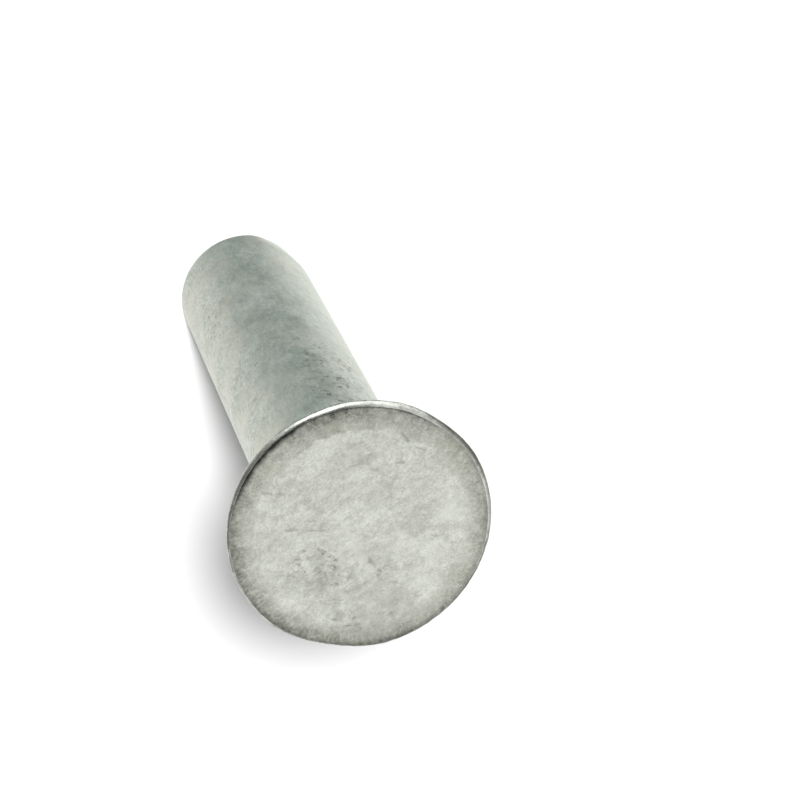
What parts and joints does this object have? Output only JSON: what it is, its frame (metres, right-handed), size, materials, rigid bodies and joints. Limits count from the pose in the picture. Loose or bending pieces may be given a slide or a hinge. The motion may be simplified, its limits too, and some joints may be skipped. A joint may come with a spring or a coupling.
{
  "type": "countersunk rivet",
  "caption": "Solid countersunk rivet: plain round shank with a cropped tail and a flat head over a conical seat.",
  "frame": {"origin": "centre of the tail's end face, which is the face that the rivet stands on", "axes": "+Z along the shank's axis, from the tail to the head; the form is round about Z, so X and Y are free"},
  "size_m": [0.0088, 0.0088, 0.022],
  "materials": {
    "aluminium": "matte tumbled aluminium with fine mottling, burnished at the rim"
  },
  "bodies": {
    "root": {"rivet": "aluminium"}
  },
  "joints": []
}
